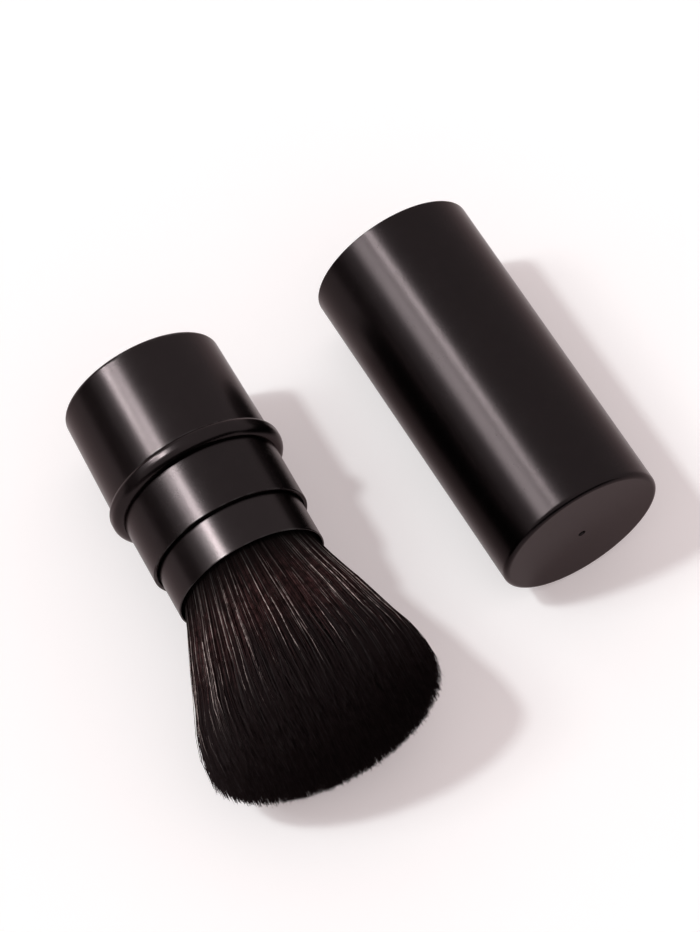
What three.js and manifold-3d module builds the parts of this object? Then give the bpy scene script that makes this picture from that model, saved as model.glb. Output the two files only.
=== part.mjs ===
// A retractable makeup brush, lying open on a table with its cap beside it.
// Millimetres, +Z up. +X runs along the brush from its closed end to the bristles,
// and the cap lies on the +Y side. The origin is on the table, in the middle of the
// box round the brush and its cap.
//
// A sleeve slides forward out of the neck and gathers the bristles, so that the cap
// can go over them. Radii are worked out from the sleeve, outwards through the neck to
// the cap and inwards to the ferrule, and stations along the brush from its closed end.

import * as THREE from 'three';
import { mergeVertices } from 'three/addons/utils/BufferGeometryUtils.js';
import Module from 'manifold-3d';

const wasm = await Module();
wasm.setup();

// Facets
const roundSides = 48;
const smallSides = 24;
const filletSteps = 4;
const weldDistance = 1e-4;

// Fits
const pressGap = 0.08;
const ringGap = 0.1;

// Sleeve, the tube that slides
const sleeveRadius = 16.2;
const sleeveWall = 0.45;
const sleeveEdge = 0.15;
const sleeveReach = 9.3;

// Bush on the sleeve's rear end, which runs in the neck and stops the sleeve
const bushLength = 3.2;
const bushFoot = 0.75;
const bushClearance = 0.2;
const bushGripDepth = 0.3;
const bushRearGap = 0.3;

// Neck, the fixed tube that guides the sleeve and carries the cap
const neckGap = 0.6;
const neckWall = 0.45;
const neckEdge = 0.15;
const neckReach = 13.1;
const neckInsertion = 7.8;

// Guide bush inside the neck's mouth
const guideClearance = 0.15;
const guideRecess = 1.6;
const guideLength = 3;
const guideLead = 0.12;

// Cap
const capClearance = 0.1;
const capWall = 0.65;
const capLength = 74.1;
const capEndWall = 0.8;
const capEdgeRadius = 0.8;
const capFilletRadius = 0.6;
const capLip = 0.15;
const capDimpleRadius = 0.55;
const capDimpleDepth = 0.25;

// Base, a turned cup that tapers towards its closed end
const baseLength = 23.4;
const baseTaper = 0.5;
const baseEndWall = 0.8;
const baseEdgeRadius = 0.9;

// Stop ring between the base and the neck, where the cap lands
const ringWidth = 4;
const ringProud = 1.25;
const ringEdgeRadius = 1.2;
const ringInnerEdge = 0.2;

// Plug glued into the base, with a boss for the screw
const plugClearance = 0.65;
const plugThickness = 1.6;
const plugFloor = 1;
const bossRadius = 4;
const bossHeight = 3;

// Core post, a ribbed moulding that holds the ferrule
const postRadius = 6.2;
const postFloor = 2.4;
const postBore = 3.2;
const postFlangeRadius = 10;
const postFlange = 1.4;
const postLength = 23.3;
const platformInset = 0.8;
const platformThickness = 1.6;
const ribCount = 6;
const ribThickness = 1.2;
const ribInset = 1.2;

// Screw that draws the post onto the plug
const screwRadius = 1.25;
const screwHoleGap = 0.1;
const screwHeadRadius = 2.6;
const screwHeadHeight = 1.7;
const screwHeadEdge = 0.5;
const screwEndGap = 0.5;
const screwTip = 0.6;
const driveRadius = 1.1;
const driveDepth = 0.9;

// Ferrule, a drawn cup with one rolled groove
const ferruleClearance = 0.75;
const ferruleWall = 0.4;
const ferruleFloor = 0.6;
const ferruleLength = 12.4;
const ferruleEdgeRadius = 0.5;
const grooveDepth = 0.25;
const grooveWidth = 1.2;
const grooveStation = 7.6;

// Bristles and the resin that they stand in
const resinThickness = 3;
const sectorGap = 0.3;
const sectorCount = 4;
const rootDepth = 0.5;
const rootMargin = 1.35;
const rootPitch = 1.35;
const rootInset = 0.1;
const strandSides = 3;
const strandRootRadius = 0.5;
const strandMouthRadius = 0.55;
const strandFlareRadius = 0.8;
const strandTipRadius = 0.85;
const strandClearance = 0.25;
const strandPoint = 1.5;

// Bristle head: a dome that flares from the sleeve, pressed flatter by the table
const headRadius = 25.2;
const headLength = 45.7;
const domeHeight = 11.5;
const headLean = 2.2;
const headTopShare = 0.96;
const tableGap = 0.12;
const flareStationShare = 0.6;
const flareRadiusShare = 0.93;
const flarePressShare = 0.9;

// Where the cap lies
const capAlong = -2.9;
const capSpacing = 22.55;
const capTurn = THREE.MathUtils.degToRad(2.75);

// Radii that follow
const sleeveBore = sleeveRadius - sleeveWall;
const neckBore = sleeveRadius + neckGap;
const neckRadius = neckBore + neckWall;
const neckSeat = neckRadius + pressGap;
const bushRadius = neckBore - bushClearance;
const guideBore = sleeveRadius + guideClearance;
const capBore = neckRadius + capClearance;
const capRadius = capBore + capWall;
const baseFrontRadius = capRadius;
const baseRearRadius = baseFrontRadius - baseTaper;
const ringRadius = baseFrontRadius + ringProud;
const bushBore = sleeveBore - bushGripDepth;
const plugRadius = bushBore - plugClearance;
const ferruleRadius = sleeveBore - ferruleClearance;
const ferruleBore = ferruleRadius - ferruleWall;
const resinRadius = ferruleBore - pressGap;
const platformRadius = ferruleRadius - platformInset;
const ribRadius = platformRadius - ribInset;

// Stations along the brush that follow
const ringFront = baseLength + ringWidth;
const neckFront = ringFront + neckReach;
const neckRear = baseLength - neckInsertion;
const sleeveFront = neckFront + sleeveReach;
const bushRear = baseEndWall + bushRearGap;
const guideFront = neckFront - guideRecess;
const guideRear = guideFront - guideLength;
const plugRear = baseEndWall + pressGap;
const plugFront = plugRear + plugThickness;
const bossFront = plugFront + bossHeight;
const postRear = plugFront + pressGap;
const postFloorRear = bossFront + pressGap;
const postFloorFront = postFloorRear + postFloor;
const postFront = postRear + postLength;
const ferruleRear = postFront + pressGap;
const resinRear = ferruleRear + ferruleFloor + pressGap;
const resinFront = resinRear + resinThickness;

// Heights above the table: the stop ring and the cap each lie on a facet
const facetShare = Math.cos(Math.PI / roundSides);
const brushHeight = ringRadius * facetShare;
const capHeight = capRadius * facetShare;

// Materials
function coat(colour, roughness, metalness) {
  return new THREE.MeshStandardMaterial({ color: colour, roughness, metalness });
}

// Solid helpers
function weld(geometry) {
  const plain = geometry.clone();
  plain.deleteAttribute('normal');
  plain.deleteAttribute('uv');
  const merged = mergeVertices(plain, weldDistance);
  const index = merged.getIndex().array;
  const kept = [];
  for (let i = 0; i < index.length; i += 3) {
    const [a, b, c] = [index[i], index[i + 1], index[i + 2]];
    if (a !== b && b !== c && c !== a) kept.push(a, b, c);
  }
  merged.setIndex(kept);
  return merged;
}

function solidOf(geometry) {
  const merged = weld(geometry);
  return new wasm.Manifold(new wasm.Mesh({
    numProp: 3,
    vertProperties: Float32Array.from(merged.getAttribute('position').array),
    triVerts: Uint32Array.from(merged.getIndex().array),
  }));
}

function geometryOf(solid) {
  const mesh = solid.getMesh();
  const geometry = new THREE.BufferGeometry();
  geometry.setAttribute('position', new THREE.BufferAttribute(mesh.vertProperties, 3));
  geometry.setIndex(new THREE.BufferAttribute(mesh.triVerts, 1));
  geometry.computeVertexNormals();
  return geometry;
}

// Profiles are lists of [radius, station], drawn counter-clockwise
function fillet(centreRadius, centreStation, radius, fromDegrees, toDegrees) {
  const points = [];
  for (let i = 0; i <= filletSteps; i += 1) {
    const degrees = fromDegrees + ((toDegrees - fromDegrees) * i) / filletSteps;
    const angle = THREE.MathUtils.degToRad(degrees);
    points.push([
      centreRadius + radius * Math.cos(angle),
      centreStation + radius * Math.sin(angle),
    ]);
  }
  return points;
}

// Turned about Y, then laid along X with a facet facing down
const alongX = new THREE.Matrix4().makeBasis(
  new THREE.Vector3(0, 0, 1),
  new THREE.Vector3(1, 0, 0),
  new THREE.Vector3(0, 1, 0),
);

function revolve(profile, sides = roundSides) {
  const points = profile.map(([radius, station]) => new THREE.Vector2(radius, station));
  const turned = new THREE.LatheGeometry(points, sides, Math.PI / sides);
  turned.applyMatrix4(alongX);
  const welded = weld(turned);
  welded.computeVertexNormals();
  return welded;
}

// A tube's profile closes on itself
function loop(points) {
  return [...points, points[0]];
}

// Base shell: rounded closed end, tapered side, straight bay and a seat for the neck
function baseShell() {
  return revolve([
    [0, 0],
    ...fillet(baseRearRadius - baseEdgeRadius, baseEdgeRadius, baseEdgeRadius, -90, 0),
    [baseFrontRadius, baseLength],
    [neckSeat, baseLength],
    [neckSeat, neckRear],
    [neckBore, neckRear],
    [neckBore, baseEndWall],
    [0, baseEndWall],
  ]);
}

// Stop ring: both outer edges rounded
function stopRing() {
  const rear = baseLength + ringGap;
  const edge = Math.min(ringEdgeRadius, (ringFront - rear) / 2);
  return revolve(loop([
    [neckSeat, rear],
    ...fillet(ringRadius - edge, rear + edge, edge, -90, 0),
    ...fillet(ringRadius - edge, ringFront - edge, edge, 0, 90),
    [neckSeat + ringInnerEdge, ringFront],
    [neckSeat, ringFront - ringInnerEdge],
  ]));
}

// Neck tube: rounded front edge
function neckTube() {
  return revolve(loop([
    [neckBore, neckRear + pressGap],
    [neckRadius, neckRear + pressGap],
    [neckRadius, neckFront - neckEdge],
    [neckRadius - neckEdge, neckFront],
    [neckBore + neckEdge / 2, neckFront],
    [neckBore, neckFront - neckEdge / 2],
  ]));
}

// Guide bush: a thin ring with a lead at both ends of its bore
function guideBush() {
  return revolve(loop([
    [guideBore + guideLead, guideRear],
    [neckBore - pressGap, guideRear],
    [neckBore - pressGap, guideFront],
    [guideBore + guideLead, guideFront],
    [guideBore, guideFront - guideLead],
    [guideBore, guideRear + guideLead],
  ]));
}

// Sleeve tube: its front edge is eased on both sides
function sleeveTube() {
  const rear = bushRear + bushFoot + pressGap;
  return revolve(loop([
    [sleeveBore, rear],
    [sleeveRadius, rear],
    [sleeveRadius, sleeveFront - sleeveEdge],
    [sleeveRadius - sleeveEdge, sleeveFront],
    [sleeveBore + sleeveEdge, sleeveFront],
    [sleeveBore, sleeveFront - sleeveEdge],
  ]));
}

// Sleeve bush: a skirt round the sleeve and a foot behind it
function sleeveBush() {
  const skirtBore = sleeveRadius + pressGap;
  const footFront = bushRear + bushFoot;
  return revolve(loop([
    [bushBore, bushRear],
    [bushRadius, bushRear],
    [bushRadius, bushRear + bushLength],
    [skirtBore, bushRear + bushLength],
    [skirtBore, footFront],
    [bushBore, footFront],
  ]));
}

// Base plug: a disc with a bored boss
function basePlug() {
  const pilot = screwRadius + pressGap;
  return revolve([
    [0, plugRear],
    [plugRadius, plugRear],
    [plugRadius, plugFront],
    [bossRadius, plugFront],
    [bossRadius, bossFront],
    [pilot, bossFront],
    [pilot, plugRear + plugFloor],
    [0, plugRear + plugFloor],
  ], smallSides * 2);
}

// Core post: a hollow column on a flange, with ribs up to the ferrule's platform
function corePost() {
  const hole = screwRadius + screwHoleGap;
  const body = solidOf(revolve(loop([
    [bossRadius + pressGap, postRear],
    [postFlangeRadius, postRear],
    [postFlangeRadius, postRear + postFlange],
    [postRadius, postRear + postFlange],
    [postRadius, postFront - platformThickness],
    [platformRadius, postFront - platformThickness],
    [platformRadius, postFront],
    [postBore, postFront],
    [postBore, postFloorFront],
    [hole, postFloorFront],
    [hole, postFloorRear],
    [bossRadius + pressGap, postFloorRear],
  ]), smallSides));
  const ribRear = postRear + postFlange / 2;
  const ribFront = postFront - platformThickness / 2;
  const flangeEdge = postFlangeRadius - ribInset;
  const outline = new THREE.Shape([
    new THREE.Vector2(ribRear, postRadius - ribThickness),
    new THREE.Vector2(ribFront, postRadius - ribThickness),
    new THREE.Vector2(ribFront, ribRadius),
    new THREE.Vector2(ribFront - platformThickness, ribRadius),
    new THREE.Vector2(ribRear, flangeEdge),
  ]);
  let solid = body;
  for (let i = 0; i < ribCount; i += 1) {
    const rib = new THREE.ExtrudeGeometry(outline, { depth: ribThickness, bevelEnabled: false });
    rib.translate(0, 0, -ribThickness / 2);
    rib.rotateX((2 * Math.PI * i) / ribCount);
    solid = solid.add(solidOf(rib));
  }
  return geometryOf(solid);
}

// Core screw: a pan head with a round drive recess, and a pointed shank
function coreScrew() {
  const headRear = postFloorFront + pressGap;
  const headFront = headRear + screwHeadHeight;
  const tip = plugRear + plugFloor + screwEndGap;
  return revolve([
    [0, tip],
    [screwRadius, tip + screwTip],
    [screwRadius, headRear],
    [screwHeadRadius, headRear],
    ...fillet(screwHeadRadius - screwHeadEdge, headFront - screwHeadEdge, screwHeadEdge, 0, 90),
    [driveRadius, headFront],
    [driveRadius, headFront - driveDepth],
    [0, headFront - driveDepth],
  ], smallSides);
}

// Ferrule cup: one rolled groove round its side, inside and out
function ferruleCup() {
  const front = ferruleRear + ferruleLength;
  const groove = ferruleRear + grooveStation;
  const half = grooveWidth / 2;
  return revolve([
    [0, ferruleRear],
    ...fillet(ferruleRadius - ferruleEdgeRadius, ferruleRear + ferruleEdgeRadius,
      ferruleEdgeRadius, -90, 0),
    [ferruleRadius, groove - half],
    [ferruleRadius - grooveDepth, groove],
    [ferruleRadius, groove + half],
    [ferruleRadius, front],
    [ferruleBore, front],
    [ferruleBore, ferruleRear + ferruleFloor],
    [0, ferruleRear + ferruleFloor],
  ]);
}

// Cap: a deep cup with rounded end, its mouth at station zero
function capShell() {
  const floor = capLength - capEndWall;
  return revolve([
    [0, floor],
    ...fillet(capBore - capFilletRadius, floor - capFilletRadius, capFilletRadius, 90, 0),
    [capBore, capLip],
    [capBore + capLip, 0],
    [capRadius - capLip, 0],
    [capRadius, capLip],
    ...fillet(capRadius - capEdgeRadius, capLength - capEdgeRadius, capEdgeRadius, 0, 90),
    [capDimpleRadius, capLength],
    [0, capLength - capDimpleDepth],
  ]);
}

// Bristle head: how far a strand that roots at share 0 to 1 of the resin's radius lies
// from the axis at each station, and how the head leans and is pressed by the table
const mouthRadius = sleeveBore - strandClearance - strandMouthRadius;
const rootRadius = resinRadius - rootMargin;
const crown = sleeveFront + headLength;
const shoulder = crown - domeHeight;
const flareStation = sleeveFront + flareStationShare * headLength;
const outerTip = headRadius - strandTipRadius;
const outerFlare = mouthRadius + flareRadiusShare * (outerTip - mouthRadius);
const pressShare = Math.min(1, (brushHeight - tableGap) / headRadius);

// The head's share of its lean and press grows from the sleeve's mouth to the shoulder
function headShare(station) {
  return Math.max(0, (station - sleeveFront) / (shoulder - sleeveFront));
}

function pressed(station, across, up) {
  const grown = Math.min(1, headShare(station));
  const share = up < 0 ? pressShare : headTopShare;
  const eased = up < 0 ? Math.min(1, grown / flarePressShare) : grown;
  return new THREE.Vector3(
    station,
    across - headLean * headShare(station),
    up * (1 + (share - 1) * eased),
  );
}

function strand(share, angle) {
  const tip = shoulder + domeHeight * Math.sqrt(Math.max(0, 1 - share * share));
  const rings = [
    [resinFront - rootDepth, share * rootRadius, strandRootRadius],
    [sleeveFront, share * mouthRadius, strandMouthRadius],
    [flareStation, share * outerFlare, strandFlareRadius],
    [tip - strandPoint, share * outerTip, strandTipRadius],
  ];
  const positions = [];
  for (const [station, reach, radius] of rings) {
    for (let side = 0; side < strandSides; side += 1) {
      const turn = angle + (2 * Math.PI * side) / strandSides;
      const across = reach * Math.cos(angle) + radius * Math.cos(turn);
      const up = reach * Math.sin(angle) + radius * Math.sin(turn);
      positions.push(...pressed(station, across, up).toArray());
    }
  }
  const end = share * outerTip;
  positions.push(...pressed(tip, end * Math.cos(angle), end * Math.sin(angle)).toArray());
  const index = [2, 1, 0];
  for (let ring = 0; ring + 1 < rings.length; ring += 1) {
    for (let side = 0; side < strandSides; side += 1) {
      const a = ring * strandSides + side;
      const b = ring * strandSides + ((side + 1) % strandSides);
      index.push(a, b, b + strandSides, a, b + strandSides, a + strandSides);
    }
  }
  const last = (rings.length - 1) * strandSides;
  const apex = rings.length * strandSides;
  for (let side = 0; side < strandSides; side += 1) {
    index.push(last + side, last + ((side + 1) % strandSides), apex);
  }
  return { positions, index };
}

// Rows of roots in one sector, as shares of the root radius and angles
function rootsOf(middle) {
  const sectorAngle = (2 * Math.PI) / sectorCount;
  const roots = [];
  for (let reach = rootRadius; reach > rootPitch; reach -= rootPitch) {
    const edge = strandRootRadius + sectorGap / 2 + rootInset;
    const usable = sectorAngle - 2 * Math.asin(Math.min(1, edge / reach));
    const steps = Math.floor((usable * reach) / rootPitch);
    for (let i = 0; i <= steps; i += 1) {
      const turn = steps > 0 ? i / steps - 0.5 : 0;
      roots.push([reach / rootRadius, middle + usable * turn]);
    }
  }
  return roots;
}

// One sector of the resin, as an extruded outline laid along X
const onAxisX = new THREE.Matrix4().makeBasis(
  new THREE.Vector3(0, 1, 0),
  new THREE.Vector3(0, 0, 1),
  new THREE.Vector3(1, 0, 0),
);

function resinSector(middle) {
  const half = Math.PI / sectorCount;
  const corner = sectorGap / 2 / Math.sin(half);
  const end = half - Math.asin(sectorGap / 2 / resinRadius);
  const shape = new THREE.Shape();
  shape.moveTo(corner, 0);
  shape.lineTo(resinRadius * Math.cos(end), -resinRadius * Math.sin(end));
  shape.absarc(0, 0, resinRadius, -end, end, false);
  shape.closePath();
  const sector = new THREE.ExtrudeGeometry(shape, {
    depth: resinThickness,
    bevelEnabled: false,
    curveSegments: roundSides / sectorCount,
  });
  sector.rotateZ(middle);
  sector.applyMatrix4(onAxisX);
  sector.translate(resinRear, 0, 0);
  return sector;
}

function bristleSector(middle) {
  const positions = [];
  const index = [];
  for (const [share, angle] of rootsOf(middle)) {
    const made = strand(share, angle);
    const first = positions.length / 3;
    positions.push(...made.positions);
    index.push(...made.index.map((corner) => corner + first));
  }
  const strands = new THREE.BufferGeometry();
  strands.setAttribute('position', new THREE.Float32BufferAttribute(positions, 3));
  strands.setIndex(index);
  return geometryOf(solidOf(resinSector(middle)).add(solidOf(strands)));
}

// Scene graph
const object = new THREE.Group();
const brush = new THREE.Group();
const sleeve = new THREE.Group();
const cap = new THREE.Group();

function addPiece(parent, name, geometry, material) {
  const mesh = new THREE.Mesh(geometry, material);
  mesh.name = name;
  parent.add(mesh);
}

addPiece(brush, 'base_shell', baseShell(), coat(0x0b0a0b, 0.3, 0.6));
addPiece(brush, 'stop_ring', stopRing(), coat(0x0c0b0c, 0.25, 0.6));
addPiece(brush, 'neck_tube', neckTube(), coat(0x0b0a0b, 0.28, 0.6));
addPiece(brush, 'guide_bush', guideBush(), coat(0x121112, 0.6, 0));
addPiece(brush, 'base_plug', basePlug(), coat(0x1a191a, 0.55, 0));
addPiece(brush, 'core_post', corePost(), coat(0x1c1b1c, 0.55, 0));
addPiece(brush, 'core_screw', coreScrew(), coat(0x8c8c90, 0.35, 1));
addPiece(brush, 'ferrule_cup', ferruleCup(), coat(0x151415, 0.35, 0.8));

const sectorNames = ['bristles_left', 'bristles_top', 'bristles_right', 'bristles_bottom'];
sectorNames.forEach((name, i) => {
  const middle = (2 * Math.PI * i) / sectorCount;
  addPiece(brush, name, bristleSector(middle), coat(0x140f0f, 0.75, 0));
});

addPiece(sleeve, 'sleeve_tube', sleeveTube(), coat(0x0b0a0b, 0.28, 0.6));
addPiece(sleeve, 'sleeve_bush', sleeveBush(), coat(0x121112, 0.6, 0));
brush.add(sleeve);

addPiece(cap, 'cap', capShell(), coat(0x0a090a, 0.32, 0.6));

brush.position.z = brushHeight;
cap.position.set(capAlong, ringRadius + capSpacing + capRadius, capHeight);
cap.rotation.z = capTurn;
object.add(brush, cap);

// Centre the footprint on the origin
object.updateMatrixWorld(true);
const middle = new THREE.Box3().setFromObject(object, true).getCenter(new THREE.Vector3());
for (const part of [brush, cap]) {
  part.position.x -= middle.x;
  part.position.y -= middle.y;
}

export default object;
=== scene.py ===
import math

import bmesh
import bpy
import numpy as np
from mathutils import Matrix, Vector


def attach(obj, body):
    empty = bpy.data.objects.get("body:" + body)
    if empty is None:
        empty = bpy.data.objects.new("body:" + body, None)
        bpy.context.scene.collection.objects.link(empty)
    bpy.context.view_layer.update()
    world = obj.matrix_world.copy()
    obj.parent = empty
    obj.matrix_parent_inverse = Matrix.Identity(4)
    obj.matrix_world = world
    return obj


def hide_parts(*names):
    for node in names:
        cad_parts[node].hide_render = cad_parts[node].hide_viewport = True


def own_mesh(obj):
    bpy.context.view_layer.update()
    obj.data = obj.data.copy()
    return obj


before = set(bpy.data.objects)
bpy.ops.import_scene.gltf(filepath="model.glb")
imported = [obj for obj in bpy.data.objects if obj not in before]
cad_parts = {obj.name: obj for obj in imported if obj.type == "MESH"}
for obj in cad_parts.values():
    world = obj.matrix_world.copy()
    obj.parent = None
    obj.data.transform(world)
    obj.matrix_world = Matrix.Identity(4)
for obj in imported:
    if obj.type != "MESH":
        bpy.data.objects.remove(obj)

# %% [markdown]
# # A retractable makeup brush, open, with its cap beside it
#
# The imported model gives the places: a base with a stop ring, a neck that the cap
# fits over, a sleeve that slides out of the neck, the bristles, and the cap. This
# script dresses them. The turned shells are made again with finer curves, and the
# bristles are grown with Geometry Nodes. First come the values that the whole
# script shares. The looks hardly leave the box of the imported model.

MM = 0.001
scene = bpy.context.scene
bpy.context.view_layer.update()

# %% [markdown]
# ## The camera
#
# The photograph was taken from well above, with a long lens, so the two cylinders
# hardly narrow towards the back. The camera is placed by the point of the table
# that it aims at, a compass direction, a height angle and a distance.

# %% Camera
AIM = Vector((-0.0182, 0.0067, 0.0))
CAMERA_TURN = math.radians(-27.82)
CAMERA_HEIGHT = math.radians(62.4)
CAMERA_DISTANCE = 0.8328
LENS = 155.0

away = Vector((
    math.cos(CAMERA_HEIGHT) * math.cos(CAMERA_TURN),
    math.cos(CAMERA_HEIGHT) * math.sin(CAMERA_TURN),
    math.sin(CAMERA_HEIGHT),
))
camera_data = bpy.data.cameras.new("camera")
camera_data.lens = LENS
camera_data.sensor_width = 36.0
camera_data.clip_end = 20.0
camera = bpy.data.objects.new("camera", camera_data)
camera.location = AIM + away * CAMERA_DISTANCE
camera.rotation_euler = (-away).to_track_quat("-Z", "Y").to_euler()
scene.collection.objects.link(camera)
scene.camera = camera
print("camera at", tuple(round(c, 4) for c in camera.location))

# %% [markdown]
# ## The light
#
# Black gloss shows the room more than itself, so the light makes most of the look.
# The shadows and the bright bands on the shells say where the lamps were: beside
# the brush, away from the cap, a little over half way up the sky. The bands have
# two crests, so there were two soft lamps, one above the other. Two suns cast their
# light and the shadows, with small discs that keep the shadows' edges as crisp as in
# the photograph. Other suns show in the gloss only, and make the bands. Real lamps
# stand near enough to show at another place on the cap than on the brush, which a sun
# can't do, so brush and cap have a pair each. The world fills the shadows with a faint
# warm light. The camera, reflections and clear things see a white backdrop there
# instead.

# %% Suns and world
# Each sun: the way towards it, the width of its disc in degrees, and its strength
UPPER_SHADOW = ((-0.2, -0.505, 0.84), 5, 1.04)
LOWER_SHADOW = ((-0.25, -0.6, 0.74), 16, 0.55)
UPPER_BAND = ((-0.384, -0.485, 0.785), 9.7, 2.4)
LOWER_BAND = ((-0.541, -0.592, 0.597), 5.3, 1.45)
CAP_UPPER_BAND = ((-0.415, -0.391, 0.822), 5.6, 1.04)
CAP_LOWER_BAND = ((-0.336, -0.63, 0.7), 17.3, 1.4)
SHADOW_COLOUR = (0.96, 1.0, 1.0)
BAND_COLOUR = (0.93, 1.02, 1.015)
FILL_STRENGTH = 0.6
FILL_COLOUR = (1.0, 0.85, 0.85, 1.0)
BACK_COLOUR = (1.0, 0.985, 0.99, 1.0)


def add_sun(name, values, colour, in_gloss):
    """One sun, which is seen either in the gloss or by everything else."""
    towards, degrees, strength = values
    data = bpy.data.lights.new(name, "SUN")
    data.angle = math.radians(degrees)
    data.energy = strength
    data.color = colour
    sun = bpy.data.objects.new(name, data)
    sun.rotation_euler = Vector(towards).to_track_quat("Z", "Y").to_euler()
    sun.visible_glossy = in_gloss
    sun.visible_diffuse = not in_gloss
    scene.collection.objects.link(sun)
    return sun


add_sun("upper_sun", UPPER_SHADOW, SHADOW_COLOUR, in_gloss=False)
add_sun("lower_sun", LOWER_SHADOW, SHADOW_COLOUR, in_gloss=False)
brush_bands = [
    add_sun("upper_band", UPPER_BAND, BAND_COLOUR, in_gloss=True),
    add_sun("lower_band", LOWER_BAND, BAND_COLOUR, in_gloss=True),
]
cap_bands = [
    add_sun("cap_upper_band", CAP_UPPER_BAND, BAND_COLOUR, in_gloss=True),
    add_sun("cap_lower_band", CAP_LOWER_BAND, BAND_COLOUR, in_gloss=True),
]

scene.view_settings.view_transform = "Standard"
world = bpy.data.worlds.new("studio")
scene.world = world
world.use_nodes = True
sky = world.node_tree
sky.nodes.clear()
ray = sky.nodes.new("ShaderNodeLightPath")


def larger(first, second):
    highest = sky.nodes.new("ShaderNodeMath")
    highest.operation = "MAXIMUM"
    sky.links.new(first, highest.inputs[0])
    sky.links.new(second, highest.inputs[1])
    return highest.outputs[0]


def backdrop(colour, strength):
    light = sky.nodes.new("ShaderNodeBackground")
    light.inputs["Color"].default_value = colour
    light.inputs["Strength"].default_value = strength
    return light.outputs[0]


sees_back = larger(ray.outputs["Is Camera Ray"], ray.outputs["Is Glossy Ray"])
sees_back = larger(sees_back, ray.outputs["Is Transmission Ray"])
around = sky.nodes.new("ShaderNodeMixShader")
sky.links.new(sees_back, around.inputs["Fac"])
sky.links.new(backdrop(FILL_COLOUR, FILL_STRENGTH), around.inputs[1])
sky.links.new(backdrop(BACK_COLOUR, 1.0), around.inputs[2])
sky_out = sky.nodes.new("ShaderNodeOutputWorld")
sky.links.new(around.outputs[0], sky_out.inputs["Surface"])
print("six suns, and a world of strength", FILL_STRENGTH)

# %% [markdown]
# ## Helpers for materials
#
# Each finish is a small tree of shader nodes. These helpers add a node, set its
# values and join it up in one line, so that the trees below read like recipes.


# %% Node helpers
def put(tree, socket, value):
    """Joins value to the socket if it is another node's socket, and sets it if not."""
    if isinstance(value, bpy.types.NodeSocket):
        tree.links.new(value, socket)
    else:
        socket.default_value = value


def node(tree, kind, inputs=None, **settings):
    made = tree.nodes.new(kind)
    for key, value in settings.items():
        setattr(made, key, value)
    for key, value in (inputs or {}).items():
        put(tree, made.inputs[key], value)
    return made


def calc(tree, operation, *values, clamp=False):
    made = tree.nodes.new("ShaderNodeMath")
    made.operation = operation
    made.use_clamp = clamp
    for place, value in enumerate(values):
        put(tree, made.inputs[place], value)
    return made.outputs[0]


def blend_colour(tree, share, first, second):
    # A Mix node has sockets for every kind of value; 6, 7 and output 2 are its colours
    mixer = node(tree, "ShaderNodeMix", data_type="RGBA")
    put(tree, mixer.inputs["Factor"], share)
    put(tree, mixer.inputs[6], first)
    put(tree, mixer.inputs[7], second)
    return mixer.outputs[2]


def new_material(name, metallic, roughness, specular=0.5):
    material = bpy.data.materials.new(name)
    material.use_nodes = True
    tree = material.node_tree
    shader = tree.nodes["Principled BSDF"]
    shader.inputs["Metallic"].default_value = metallic
    shader.inputs["Roughness"].default_value = roughness
    shader.inputs["Specular IOR Level"].default_value = specular
    return material, tree, shader


def new_group(name, inputs, outputs):
    group = bpy.data.node_groups.new(name, "ShaderNodeTree")
    for title, kind, value in inputs:
        socket = group.interface.new_socket(title, in_out="INPUT", socket_type=kind)
        if value is not None:
            socket.default_value = value
    for title in outputs:
        group.interface.new_socket(title, in_out="OUTPUT", socket_type="NodeSocketFloat")
    return group, group.nodes.new("NodeGroupInput"), group.nodes.new("NodeGroupOutput")


print("helpers ready")

# %% [markdown]
# ## The table
#
# The brush lies on a plain white sweep, lit so well that its shadows are pale. A
# flat sheet far larger than the view is enough, with a very faint grain so that it
# isn't dead flat. Most of its white is its colour. A small part is a glow that only
# the camera and reflections see, which lifts the shadows without more light on the
# object. The table is part of the stage, not of the object.

# %% Table
TABLE_HALF = 4.0
GLOW_STRENGTH = 0.28
GLOW_COLOUR = (1.0, 0.88, 0.885, 1)


def flat_sheet(name, corners, material):
    mesh = bpy.data.meshes.new(name)
    mesh.from_pydata(corners, [], [(0, 1, 2, 3)])
    mesh.materials.append(material)
    sheet = bpy.data.objects.new(name, mesh)
    scene.collection.objects.link(sheet)
    return sheet


def plain_sheet(name, darker, lighter):
    material, tree, shader = new_material(name, 0.0, 0.9, 0.1)
    where = node(tree, "ShaderNodeTexCoord").outputs["Object"]
    grain = node(tree, "ShaderNodeTexNoise", {"Vector": where, "Scale": 900.0, "Detail": 2.0})
    tint = blend_colour(tree, grain.outputs["Fac"], darker, lighter)
    tree.links.new(tint, shader.inputs["Base Color"])
    return material, tree, shader


paper, tree, shader = plain_sheet("white_table", (0.8, 0.83, 0.83, 1), (0.81, 0.84, 0.84, 1))
path = node(tree, "ShaderNodeLightPath").outputs
seen = calc(tree, "MAXIMUM", path["Is Camera Ray"], path["Is Glossy Ray"])
seen = calc(tree, "MAXIMUM", seen, path["Is Transmission Ray"])
glow = node(tree, "ShaderNodeEmission", {"Color": GLOW_COLOUR})
tree.links.new(calc(tree, "MULTIPLY", seen, GLOW_STRENGTH), glow.inputs["Strength"])
both = node(tree, "ShaderNodeAddShader", {0: shader.outputs[0], 1: glow.outputs[0]})
tree.links.new(both.outputs[0], tree.nodes["Material Output"].inputs["Surface"])
corners = ((-1, -1), (1, -1), (1, 1), (-1, 1))
flat_sheet("table", [(x * TABLE_HALF, y * TABLE_HALF, 0) for x, y in corners], paper)
print("table", 2 * TABLE_HALF, "m across")

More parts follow.
